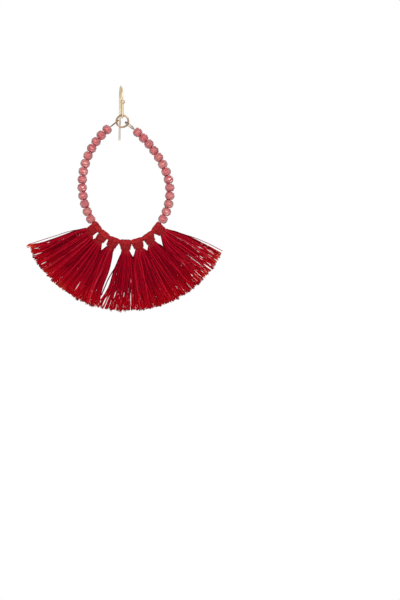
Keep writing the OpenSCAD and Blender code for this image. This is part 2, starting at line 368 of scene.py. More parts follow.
# Materials
# Colours are linear red, green and blue. A grain is how fine a noise is, in changes to the metre.
# The numbers of a fade are its start, its end, the most of it and sometimes the least.

# Name of the four values at each point of a built piece, which its material reads
LOOK = "thread_look"

METAL_GRAIN = 260
GLOSS_GRAIN = 900
MARK_GRAIN = 7000
DARKENED_METAL = (0.05, 0.06, 0.09)
# The hook's tail, by its height, is paler, and its ball is browner
PALE_TAIL_METAL = (0.97, 0.91, 0.87)
PALE_FROM_Z = -14
PALE_TO_Z = -17
BALL_BROWN = (0.74, 0.54, 0.34)
BALL_D = 1.85
BALL_PIXEL = (123.3, 101.7)

BEAD_TONES = ((0.25, 0.58, 0.08, 0.105), (0.5, 0.68, 0.11, 0.12), (0.75, 0.66, 0.19, 0.14))
CLOUD_GRAIN = 500
CLOUD_SHARE = 0.6
# How much the facets of a bead differ in painted light and shade: a noise over the directions that they
# face
FACET_CHANGE = 4
DIM_FACET = (0.34, 0.03, 0.05)
DIM_FADE = (0.5, 0.36, 0.9)
LIT_FACET = (0.80, 0.30, 0.27)
LIT_FADE = (0.5, 0.64, 0.8)
# Painted grey lustre reflection and rim shade, where a facet slants away
LUSTRE_AND_RIM_SHADE = (0.36, 0.27, 0.28)
LUSTRE_GRAIN = 420
LUSTRE_PATCHES = 0.35
LUSTRE_SHADE_FADE = (0.3, 0.85, 0.95, 0.05)
# Painted shade and red light in nooks between beads, by how much light reaches them. The reach is in
# metres.
NOOK_SHADE_RED = (0.42, 0.012, 0.025)
NOOK_REACH = 0.0013
NOOK_FADE = (0.98, 0.6, 1.0)
BEAD_SPECULAR = 0.5
BEAD_COAT = 0.35
BEAD_GRAIN = 2200

ALONG_MAP = "thread_along"
TWIST_PITCH = 1.3
STREAK_GRAIN = 900
STREAK_SHARE = 0.2
MOTTLE_GRAIN = 2000
FIBRE_GRAIN = 9000
FIBRE_HEIGHT = 0.4
# Fades by the share of the way to the cut ends: painted light on the tips, painted shade at the cuts,
# mottled heads
LIT_TIP_FADE = (0.6, 1.0, 0.55)
CUT_SHADE_FADE = (0.965, 1.0, 0.7)
HEAD_FADE = (0.08, 0.0, 0.85)
# Painted pale glints near the cut ends, at places that differ from thread to thread
PAINTED_GLINT = (0.90, 0.36, 0.34)
GLINT_FADE = (0.62, 0.7, 1.0)
GLINTS_PER_MM = 0.4
GLINT_SPREAD = 200
# Where they begin, by the share of the way. They begin earlier by GLINT_RISE where glint_amount is 1.
GLINT_ZONE_FADE = (0.9, 1.1, 1.0)
GLINT_RISE = 0.4
# Painted shade on the sides of the heads and bindings, by their tone
SIDE_SHADE_FADE = (0.3, 0.0, 0.9)


def look_parts(tree):
    """The four values of LOOK."""
    look = tree.nodes.new("ShaderNodeAttribute")
    look.attribute_name = LOOK
    parts = tree.nodes.new("ShaderNodeSeparateColor")
    tree.links.new(look.outputs["Color"], parts.inputs[0])
    return parts.outputs["Red"], parts.outputs["Green"], parts.outputs["Blue"], look.outputs["Alpha"]


def hook_tail_and_ball(tree, coordinates, colour):
    """Pale grey metal on the hook's tail, and brown on its ball."""
    _, _, height = split_xyz(tree, coordinates)
    pale_tail = fade(tree, height, PALE_FROM_Z * MM, PALE_TO_Z * MM, most=0.8)
    colour = mix_colour(tree, pale_tail, colour, PALE_TAIL_METAL)
    ball_at = photo_point(*BALL_PIXEL)
    ball_at.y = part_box("ear_hook")[0].y / MM + BALL_D / 2
    away = tree.nodes.new("ShaderNodeVectorMath")
    away.operation = "DISTANCE"
    tree.links.new(coordinates, away.inputs[0])
    away.inputs[1].default_value = ball_at * MM
    ball_brown = fade(tree, away.outputs["Value"], BALL_D * MM, BALL_D * MM / 2, most=0.9)
    return mix_colour(tree, ball_brown, colour, BALL_BROWN)


def gold_material(name, patch_tone, plain, bright, roughness, extra_tint=None):
    """Plated wire, darker in patches. The first value of its look is how much darker it is, and the
    second is how much painted red light and shade from the beads it has."""
    material, tree, shader = new_material(name)
    coordinates = object_point(tree)
    darkened, painted_bead_red, _, _ = look_parts(tree)
    patches = noise(tree, coordinates, METAL_GRAIN)
    colour = ramp(tree, patches, ((0.3, *patch_tone), (0.5, *plain), (0.75, *bright)))
    colour = mix_colour(tree, darkened, colour, DARKENED_METAL)
    # Painted red light and shade from the beads on the strung wire
    colour = mix_colour(tree, painted_bead_red, colour, NOOK_SHADE_RED)
    if extra_tint is not None:
        colour = extra_tint(tree, coordinates, colour)
    tree.links.new(colour, shader.inputs["Base Color"])
    set_inputs(shader, Metallic=1.0, Coat_Weight=0.05, Coat_Roughness=0.2)
    gloss = noise(tree, coordinates, GLOSS_GRAIN)
    rough = fade(tree, gloss, 0.0, 1.0, most=roughness * 1.3, least=roughness * 0.8)
    tree.links.new(rough, shader.inputs["Roughness"])
    marks = noise(tree, coordinates, MARK_GRAIN)
    tree.links.new(bump(tree, marks, distance=0.000003, strength=0.03), shader.inputs["Normal"])
    return material


def bead_material():
    """Coral glass under a grey lustre that shows at a slant, painted into its colour with shade at the
    rims. Each bead differs by its object's colour, and each facet in painted light and shade, by the way
    it faces on the bead."""
    material, tree, shader = new_material("bead_glass")
    coordinates = object_point(tree)
    own = tree.nodes.new("ShaderNodeSeparateColor")
    tree.links.new(tree.nodes.new("ShaderNodeObjectInfo").outputs["Color"], own.inputs[0])
    cloud = noise(tree, coordinates, CLOUD_GRAIN)
    tone = plus(tree, times(tree, cloud, CLOUD_SHARE), times(tree, own.outputs["Red"], 1 - CLOUD_SHARE))
    colour = ramp(tree, tone, BEAD_TONES)
    facing = tree.nodes.new("ShaderNodeVectorTransform")
    facing.vector_type = "NORMAL"
    facing.convert_from = "WORLD"
    facing.convert_to = "OBJECT"
    tree.links.new(tree.nodes.new("ShaderNodeNewGeometry").outputs["True Normal"], facing.inputs[0])
    facet = noise(tree, facing.outputs[0], FACET_CHANGE)
    # Painted light and shade that differs from facet to facet
    colour = mix_colour(tree, fade(tree, facet, *DIM_FADE), colour, DIM_FACET)
    colour = mix_colour(tree, fade(tree, facet, *LIT_FADE), colour, LIT_FACET)
    # Painted grey lustre reflection and rim shade at a slant
    slant = node(tree, "ShaderNodeLayerWeight", Blend=0.5)
    patches = times(tree, noise(tree, coordinates, LUSTRE_GRAIN), LUSTRE_PATCHES)
    lustre_and_rim_shade = fade(tree, plus(tree, slant.outputs["Facing"], patches), *LUSTRE_SHADE_FADE)
    colour = mix_colour(tree, lustre_and_rim_shade, colour, LUSTRE_AND_RIM_SHADE)
    # Painted shade and red light in the nooks between beads
    nook = node(tree, "ShaderNodeAmbientOcclusion", Distance=NOOK_REACH)
    painted_shade = fade(tree, nook.outputs["AO"], *NOOK_FADE)
    colour = mix_colour(tree, painted_shade, colour, NOOK_SHADE_RED)
    tree.links.new(colour, shader.inputs["Base Color"])
    open_side = math_node(tree, "SUBTRACT", 1, painted_shade)
    tree.links.new(times(tree, open_side, BEAD_SPECULAR), shader.inputs["Specular IOR Level"])
    tree.links.new(times(tree, open_side, BEAD_COAT), shader.inputs["Coat Weight"])
    set_inputs(shader, Roughness=0.3, IOR=1.5, Coat_Roughness=0.1, Coat_IOR=1.5)
    relief = noise(tree, coordinates, BEAD_GRAIN)
    tree.links.new(bump(tree, relief, distance=0.00001, strength=0.12), shader.inputs["Normal"])
    return material


def thread_material(name, dark, plain, light, painted_sheen, lit_tip, glow, head, patch_tone):
    """Silky two-ply floss. The values of its look are each thread's tone, the share of the way to the cut
    ends, how much it glows and how much of it has painted pale glints."""
    material, tree, shader = new_material(name)
    coordinates = object_point(tree)
    own_tone, share, glowing, glint_amount = look_parts(tree)
    place = tree.nodes.new("ShaderNodeUVMap")
    place.uv_map = ALONG_MAP
    along, around, _ = split_xyz(tree, place.outputs["UV"])

    streak = noise(tree, coordinates, STREAK_GRAIN, detail=2)
    tone = plus(tree, times(tree, own_tone, 1 - STREAK_SHARE), times(tree, streak, STREAK_SHARE))
    # The palest tones are a painted sheen
    colour = ramp(tree, tone, ((0.1, *dark), (0.5, *plain), (0.82, *light), (0.95, *painted_sheen)))
    # Painted light on the tips, and painted shade at the cut ends
    colour = mix_colour(tree, fade(tree, share, *LIT_TIP_FADE), colour, lit_tip)
    colour = mix_colour(tree, fade(tree, share, *CUT_SHADE_FADE), colour, dark)

    # Painted pale glints near the cut ends
    own_line = tree.nodes.new("ShaderNodeCombineXYZ")
    tree.links.new(along, own_line.inputs["X"])
    tree.links.new(times(tree, own_tone, GLINT_SPREAD), own_line.inputs["Y"])
    glint = fade(tree, noise(tree, own_line.outputs[0], GLINTS_PER_MM), *GLINT_FADE)
    glint_zone = fade(tree, plus(tree, share, times(tree, glint_amount, GLINT_RISE)), *GLINT_ZONE_FADE)
    colour = mix_colour(tree, times(tree, times(tree, glint, glint_zone), glint_amount), colour, PAINTED_GLINT)
    colour = mix_colour(tree, glowing, colour, glow)

    heads = fade(tree, share, *HEAD_FADE)
    mottle = noise(tree, coordinates, MOTTLE_GRAIN, detail=2, roughness=0.7)
    head_mottle = ramp(tree, mottle, ((0.3, *dark), (0.45, *head), (0.7, *patch_tone)))
    colour = mix_colour(tree, heads, colour, head_mottle)
    # Painted shade on the sides of the heads and bindings
    colour = mix_colour(tree, times(tree, fade(tree, own_tone, *SIDE_SHADE_FADE), heads), colour, dark)
    tree.links.new(colour, shader.inputs["Base Color"])
    set_inputs(shader, Roughness=0.5, Specular_IOR_Level=0.08, Specular_Tint=(1.0, 0.25, 0.3, 1))
    set_inputs(shader, Sheen_Weight=0.06, Sheen_Roughness=0.4, Sheen_Tint=(1.0, 0.08, 0.14, 1))

    twist = plus(tree, times(tree, along, math.pi / TWIST_PITCH), times(tree, around, math.tau))
    ply = math_node(tree, "ABSOLUTE", math_node(tree, "SINE", twist))
    fibres = times(tree, noise(tree, coordinates, FIBRE_GRAIN), FIBRE_HEIGHT)
    relief = plus(tree, ply, fibres)
    tree.links.new(bump(tree, relief, distance=0.00004, strength=0.6), shader.inputs["Normal"])
    return material


# Threads

BAKE_MAP = "OFBake"
# Share of its strip of the map that a thread takes up
STRIP_FILL = 0.92


def lengths_along(path):
    """Distance along the path from its first point to each."""
    lengths = [0.0]
    for a, b in zip(path, path[1:]):
        lengths.append(lengths[-1] + (b - a).length)
    return lengths


def axes_across(path, closed=False):
    """Two directions across the path at each of its points, carried along without a twist."""
    axes = []
    last = len(path) - 1
    side = None
    for i in range(len(path)):
        before = path[i - 1] if i or closed else path[i]
        after = path[(i + 1) % len(path)] if i < last or closed else path[i]
        ahead = (after - before).normalized()
        if side is None:
            side = ahead.orthogonal().normalized()
        side = (side - ahead * side.dot(ahead)).normalized()
        axes.append((side, ahead.cross(side)))
    return axes


def plies(path, thread_r, pitch):
    """Centre lines of the two plies that are twisted round each other along a path."""
    lines = ([], [])
    for centre, (side, up), length in zip(path, axes_across(path), lengths_along(path)):
        for number, line in enumerate(lines):
            angle = number * math.pi + math.tau * length / pitch
            line.append(centre + thread_r / 2 * (math.cos(angle) * side + math.sin(angle) * up))
    return lines


class ThreadMesh:
    """Round threads gathered in one mesh. Each has a strip of its own in the bake's map."""

    def __init__(self, glint_amount=0.0):
        self.glint_amount = glint_amount
        self.points = []
        self.faces = []
        self.looks = []
        self.strips = []
        self.places = []
        self.tubes = 0

    def add(self, path, radii, sides, looks, closed=False):
        """A tube along a list of points, with a radius and the first three values of a look at each."""
        rings = len(path)
        base = len(self.points)
        lengths = lengths_along(path)
        total = lengths[-1] + ((path[0] - path[-1]).length if closed else 0.0)
        for centre, (side, up), radius, look in zip(path, axes_across(path, closed), radii, looks):
            for k in range(sides):
                angle = k * math.tau / sides
                outward = math.cos(angle) * side + math.sin(angle) * up
                self.points.append((centre + radius * outward) * MM)
                self.looks.append((*look, self.glint_amount))
        spans = rings if closed else rings - 1
        for i in range(spans):
            low = lengths[i]
            high = lengths[i + 1] if i + 1 < rings else total
            for k in range(sides):
                a = base + i * sides + k
                b = base + i * sides + (k + 1) % sides
                c = base + (i + 1) % rings * sides + (k + 1) % sides
                d = base + (i + 1) % rings * sides + k
                self.faces.append((a, b, c, d))
                corners = ((low, k), (low, k + 1), (high, k + 1), (high, k))
                self.strips.extend((s / total, self.tubes + STRIP_FILL * t / sides) for s, t in corners)
                self.places.extend((s, t / sides) for s, t in corners)
        if not closed:
            self.cap([base + k for k in reversed(range(sides))], 0.0, 0.0)
            self.cap([base + (rings - 1) * sides + k for k in range(sides)], 1.0, total)
        self.tubes += 1

    def cap(self, corners, strip_u, length):
        """Flat end of a tube, shown in the map by a point of the tube's own strip."""
        self.faces.append(tuple(corners))
        self.strips.extend([(strip_u, self.tubes + STRIP_FILL / 2)] * len(corners))
        self.places.extend([(length, 0.5)] * len(corners))

    def build(self, name, material, body):
        """Make the piece, which rides on a body."""
        mesh = bpy.data.meshes.new(name)
        mesh.from_pydata(self.points, [], self.faces)
        strips = mesh.uv_layers.new(name=BAKE_MAP)
        strips.data.foreach_set("uv", [value for u, v in self.strips for value in (u, v / self.tubes)])
        places = mesh.uv_layers.new(name=ALONG_MAP)
        places.data.foreach_set("uv", [value for pair in self.places for value in pair])
        looks = mesh.attributes.new(LOOK, "FLOAT_COLOR", "POINT")
        looks.data.foreach_set("color", [value for look in self.looks for value in look])
        mesh.shade_smooth()
        mesh.materials.append(material)
        piece = bpy.data.objects.new(name, mesh)
        bpy.context.scene.collection.objects.link(piece)
        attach(piece, body)
        return piece


# The fringe's outline

# Lines between neighbouring tassels, from the left to the right: radius about the fan's middle, degrees.
# The first and the last are the fringe's outer edges.
LINES = (
    ((15.3, -61.8), (17, -60.6), (18, -60.0), (20, -61.6), (24, -64.6), (26.2, -65.7), (34.6, -67.2),
     (43, -68.2)),
    ((15.3, -45.2), (17, -45.7), (19.3, -44.3), (43, -47.0)),
    ((15.3, -28.6), (18, -29.1), (21.5, -29.2), (43, -28.7)),
    ((15.3, -11.0), (18.5, -10.9), (20, -11.6), (25, -12.7), (33, -14.1), (39.6, -15.6), (43, -15.8)),
    ((15.3, 7.0), (43, 7.1)),
    ((15.3, 25.0), (17.5, 24.5), (20.4, 23.6), (43, 26.2)),
    ((15.3, 43.5), (17, 42.6), (18.5, 42.6), (20, 41.5), (23, 40.6), (43, 43.3)),
    ((15.3, 61.3), (17, 59.5), (18, 58.8), (20, 59.8), (22, 61.5), (28, 63.6), (31, 64.4), (36, 64.7),
     (43, 64.3)),
)
# Gaps that stay open along those lines: radius, width
GAPS = (
    ((0, 0),),
    ((15.8, 0), (16.5, 0.5), (18, 1.1), (19.3, 0)),
    ((15.7, 0), (16.5, 0.7), (17.5, 0.95), (18.7, 1.65), (22, 0)),
    ((16.1, 0), (17, 1.3), (19.5, 3.1), (22, 2.4), (26, 1.6), (29, 1.5), (32, 1.9), (35, 1.8), (37, 1.1),
     (39.6, 0)),
    ((16.3, 0), (17, 0.85), (19, 1.95), (22.2, 0)),
    ((16.1, 0), (17, 0.9), (18.8, 1.7), (20.4, 0)),
    ((16.2, 0), (17, 1.3), (19, 2.6), (23.1, 0)),
    ((0, 0),),
)
# Where a gap has closed, the threads beside it come to cross its line by this much, over this far
CROSSING = 0.3
CROSSING_RUN = 3
# A line whose gap closes beyond this radius counts as open
OPEN_R = 30
# Bands inside the outer edges where only a few threads run: radius, degrees
LEFT_BAND = ((21, 0), (24, 0.6), (26, 1.8), (36, 1.9), (39, 1.4), (41.5, 0.3))
RIGHT_BAND = ((27, 0), (30, 1.3), (34, 2.2), (43, 2.2))
# Each such thread's place across its band
LEFT_LOOSE = (0.0, 0.9, 1.0, 0.8, 0.95, 1.0, 0.03, 0.9)
RIGHT_LOOSE = (0.0, 0.97, 0.6, 0.9, 0.04, 1.0, 0.75, 0.95)
# How far from the wire the heads press together, and how far below the binding it still takes room
HEADS_TOUCH = 0.6
BELOW_WRAP = 0.5


def fan_point(angle, radius, y):
    """Point of the fringe, by degrees from straight down and the distance from the fan's middle."""
    turn = math.radians(angle)
    return HOOP_AT + Vector((radius * math.sin(turn), y, FAN_MIDDLE - radius * math.cos(turn)))


def half_gap(line, radius):
    """Degrees from a line to the threads beside it, below zero where the gap has closed."""
    wide = look_up(GAPS[line], radius) / 2
    if 0 < line < TASSELS:
        closed = GAPS[line][-1][0]
        wide -= CROSSING * ramp_up(radius, closed, closed + CROSSING_RUN)
    return math.degrees(wide / radius)


def edges(index, radius):
    """Degrees between which a tassel's threads lie."""
    low = look_up(LINES[index - 1], radius) + half_gap(index - 1, radius)
    high = look_up(LINES[index], radius) - half_gap(index, radius)
    if index == 1:
        low += look_up(LEFT_BAND, radius)
    if index == TASSELS:
        high -= look_up(RIGHT_BAND, radius)
    return low, high


def side_room(radius):
    """Distance between a tassel's outline and its outermost threads: the heads press together, and the
    necks leave room for the binding that goes round them."""
    free = ramp_up(radius, FAN_MIDDLE + HEADS_TOUCH, WRAP_TOP_R)
    under = free * (1 - ramp_up(radius, WRAP_FOOT_R, WRAP_FOOT_R + BELOW_WRAP))
    return THREAD_R * free + under * WRAP_THREAD_D


# How the threads of the tassels run

THREAD_R = 0.125
# Threads are pressed thin in the neck, and swell a little in the head
NECK_THREAD_R = 0.075
HEAD_THREAD_R = 0.13
THREAD_SIDES = 6
# Loops lie over one another on the wire in layers, each with its own radius
HEAD_LAYERS = 4
LAYER_RADII = (0.42, 0.66, 0.9, 1.14)
OVER_TURNS = (30, 60, 90, 120, 150)
COLUMN_SHIFT = (-0.3, 0.3)
# A thread's points: at these radii down the neck, and then in steps that grow towards the cut end
NECK_RADII = (FAN_MIDDLE, FAN_MIDDLE + 0.35, FAN_MIDDLE + 0.65, FAN_MIDDLE + 1.1, FAN_MIDDLE + 2.2)
SKIRT_STEPS = 15
STEP_GROWTH = 1.35
# Thickness of a skirt: share of the way to the cut ends, share of SKIRT_T
SKIRT_THICKNESS = ((0, 0.6), (0.07, 0.9), (0.2, 1), (0.45, 0.92), (0.92, 0.72), (1, 0.66))
# Seeds of the tassels' chance, picked so that slits and tones fall much as the photo has them
THREAD_SEEDS = (7501, 7002, 7003, 7604, 7605, 7506, 7507)
# How each tassel hangs: loops, clumps, how far its threads gather in them, its rise over the wire,
# its tone, and how many painted glints its ends have
HANGS = (
    (132, 20, 0.10, 1.65, 0.52, 0.4),
    (132, 18, 0.10, 1.6, 0.48, 0.25),
    (116, 16, 0.12, 1.3, 0.52, 0.45),
    (132, 20, 0.12, 1.25, 0.5, 0.7),
    (132, 18, 0.10, 1.2, 0.5, 0.3),
    (128, 18, 0.10, 1.25, 0.5, 0.4),
    (124, 24, 0.22, 1.4, 0.65, 1.0),
)
# Places where a skirt lets the light through: tassel, place across it, shares of the way, width
CHINKS = (
    (1, 0.05, 0.62, 0.74, 0.15), (1, 0.13, 0.86, 0.92, 0.25), (1, 0.30, 0.87, 0.93, 0.2),
    (2, 0.70, 0.74, 0.80, 0.1), (2, 0.76, 0.64, 0.68, 0.1), (2, 0.97, 0.86, 0.94, 0.15),
    (3, 0.38, 0.88, 0.97, 0.2), (3, 0.55, 0.80, 0.87, 0.15), (3, 0.74, 0.68, 0.75, 0.1),
    (3, 0.85, 0.80, 0.90, 0.15), (4, 0.10, 0.78, 0.95, 0.4), (4, 0.30, 0.70, 0.76, 0.12),
    (4, 0.38, 0.70, 0.78, 0.2), (4, 0.47, 0.80, 0.87, 0.2), (4, 0.56, 0.70, 0.75, 0.12),
    (4, 0.62, 0.88, 0.94, 0.15), (4, 0.72, 0.72, 0.78, 0.15), (4, 0.76, 0.81, 0.86, 0.15),
    (5, 0.02, 0.35, 0.40, 0.2), (5, 0.55, 0.70, 0.74, 0.1), (6, 0.43, 0.90, 0.98, 0.2),
    (6, 1.00, 0.52, 0.68, 0.4), (7, 0.00, 0.52, 0.68, 0.4), (6, 1.00, 0.74, 0.87, 0.8),
    (7, 0.00, 0.74, 0.87, 0.8), (7, 0.22, 0.72, 0.80, 0.15), (7, 0.30, 0.86, 0.94, 0.2),
    (7, 0.38, 0.72, 0.79, 0.2), (7, 0.40, 0.87, 0.96, 0.3), (7, 0.58, 0.62, 0.76, 0.15),
    (7, 0.50, 0.82, 1.04, 0.4), (7, 0.59, 0.86, 1.04, 0.3), (7, 0.63, 0.70, 0.78, 0.25),
    (7, 0.74, 0.62, 0.72, 0.2), (7, 0.80, 0.90, 1.04, 0.3), (7, 0.88, 0.58, 0.70, 0.1),
    (7, 0.92, 0.76, 0.88, 0.1),
)
# How far aside a chink's push is felt, and the power below 1 that makes its ends blunt
CHINK_REACH = 0.7
CHINK_POWER = 0.7
# Each tassel has a few more at chance places: where they start, their length and their width
SMALL_CHINKS = 5
SMALL_START = (0.78, 0.92)
SMALL_LENGTH = (0.03, 0.08)
SMALL_WIDTH = (0.02, 0.15)
# Cut ends that glow orange in the light: tassel, place across it, width as a share, how much
GLOWS = (
    (1, 0.02, 0.14, 1.0), (1, 0.15, 0.1, 0.3), (1, 0.85, 0.15, 0.3), (2, 0.45, 0.2, 0.4),
    (7, 0.35, 0.2, 0.4), (7, 0.85, 0.3, 0.4),
)
# Share of the way where glows begin, and how much of their width glows fully
GLOW_FROM = 0.88
GLOW_CORE = 0.3
# Lengthwise streaks of a tone of their own, side by side across a tassel
STREAKS = 34
STREAK_SD = 0.03
# How much clumps differ in place, tone and reach
CLUMP_SHIFT = (-0.32, 0.32)
CLUMP_TONE_SD = 0.03
CLUMP_REACH_SD = 0.011
# How far threads may stray past a side where a neighbour hangs, as a share of the width
OVERLAP = 0.25
# Loops are smaller at a head's sides
LOOP_ROUNDING = 0.3
LOOP_SPREAD = (0.94, 1.04)
# The skirt spreads a little more than the head
SKIRT_SPREAD = 1.03
PLACE_SD = 0.05
# The place in the neck lies between those in the head and the skirt, and is reached this far down
NECK_BETWEEN = 0.6
NECK_MARGIN = 0.02
NECK_RUN = 2
NECK_LAYER = 0.6
DEPTH_SD = 0.1
DEPTH_LEAST = 0.03
# All threads stray a little, and a few stray far
STRAY_SD = 0.02
FAR_CHANCE = 0.08
FAR_SD = 0.1
# How far down the cut ends lie, and a few that are short
REACH = 0.98
REACH_SD = 0.009
SHORT_CHANCE = 0.05
SHORT_BY = (0, 0.06)
# Each thread bows once and waves a little
BOW_SD = 0.15
BOW_SHARE = 0.6
WAVE = (0.03, 0.1)
WAVE_TURNS = (0.8, 2.2)
TONE_SD = 0.16
# Painted shade on threads less deep than this, towards the middle of a skirt, and painted light on outer
# ones
DEPTH_SHADE = 0.18
SHADE_FROM = 0.6
# Threads that lie across the others on the outside
TOP_CHANCE = 0.35
TOP_STRAY = (0.05, 0.25)
TOP_DEPTH = 1.1
TOP_TONES = (0.2, 0.6, 0.85)
TOP_TONE_SHIFT = (-0.05, 0.05)
# Threads that run alone along the outer edge of the fringe
LOOSE_TONE = 0.4
LOOSE_DEPTH = 0.25
LOOSE_REACH = 0.985
# Shares from which threads have their own place, their own depth, their full thickness, and gather
PLACE_FROM = 0.14
DEPTH_FROM = 0.12
FULL_FROM = 0.06
GATHER_FROM = 0.5
# Bow and wave die out within this part of the width from each side
CALM_SIDE = 0.25
# A skirt is thinner at its sides
CROWN = 0.5
# Painted shade on the sides of a skirt near its top
EDGE_SHADE = 0.45
EDGE_WIDTH = 0.2
EDGE_END = (0.1, 0.4)


class Hang:
    """How the threads of one tassel gather, part and shine."""

    def __init__(self, rng, index):
        self.index = index
        self.loops, clumps, self.gather, self.rise, self.tone, self.glint_amount = HANGS[index - 1]
        self.places = [(k + 0.5 + rng.uniform(*CLUMP_SHIFT)) / clumps for k in range(clumps)]
        self.tones = [rng.gauss(0, CLUMP_TONE_SD) for _ in range(clumps)]
        self.reaches = [rng.gauss(0, CLUMP_REACH_SD) for _ in range(clumps)]
        self.streaks = [rng.gauss(0, STREAK_SD) for _ in range(STREAKS)]
        self.open_low = index == 1 or GAPS[index - 1][-1][0] > OPEN_R
        self.open_high = index == TASSELS or GAPS[index][-1][0] > OPEN_R
        self.chinks = [row[1:] for row in CHINKS if row[0] == index]
        for _ in range(SMALL_CHINKS):
            start = rng.uniform(*SMALL_START)
            self.chinks.append(
                (rng.random(), start, start + rng.uniform(*SMALL_LENGTH), rng.uniform(*SMALL_WIDTH))
            )
        self.glows = [row[1:] for row in GLOWS if row[0] == index]
        self.loose = 0

    def clump(self, place):
        """Number of the clump that is nearest to a place."""
        return min(range(len(self.places)), key=lambda k: abs(self.places[k] - place))

    def keep_in(self, place):
        """Threads may stray over a neighbour's, but not over a side that is open."""
        low = 0.0 if self.open_low else -OVERLAP
        high = 1.0 if self.open_high else 1 + OVERLAP
        return clamp(place, low, high)

    def push(self, place, share, width):
        """Distance by which the chinks push a thread aside."""
        total = 0.0
        for middle, start, end, gap in self.chinks:
            if not start < share < end:
                continue
            away = (place - middle) * width
            opening = math.sin(math.pi * (share - start) / (end - start)) ** CHINK_POWER
            side = 1 if away >= 0 else -1
            total += side * (gap / 2 + THREAD_R) * opening * math.exp(-abs(away) / CHINK_REACH)
        return total

    def glow(self, place, share):
        most = 0.0
        for middle, width, amount in self.glows:
            most = max(most, amount * (1 - ramp_up(abs(place - middle), width * GLOW_CORE, width)))
        return most * ramp_up(share, GLOW_FROM, 1.0)


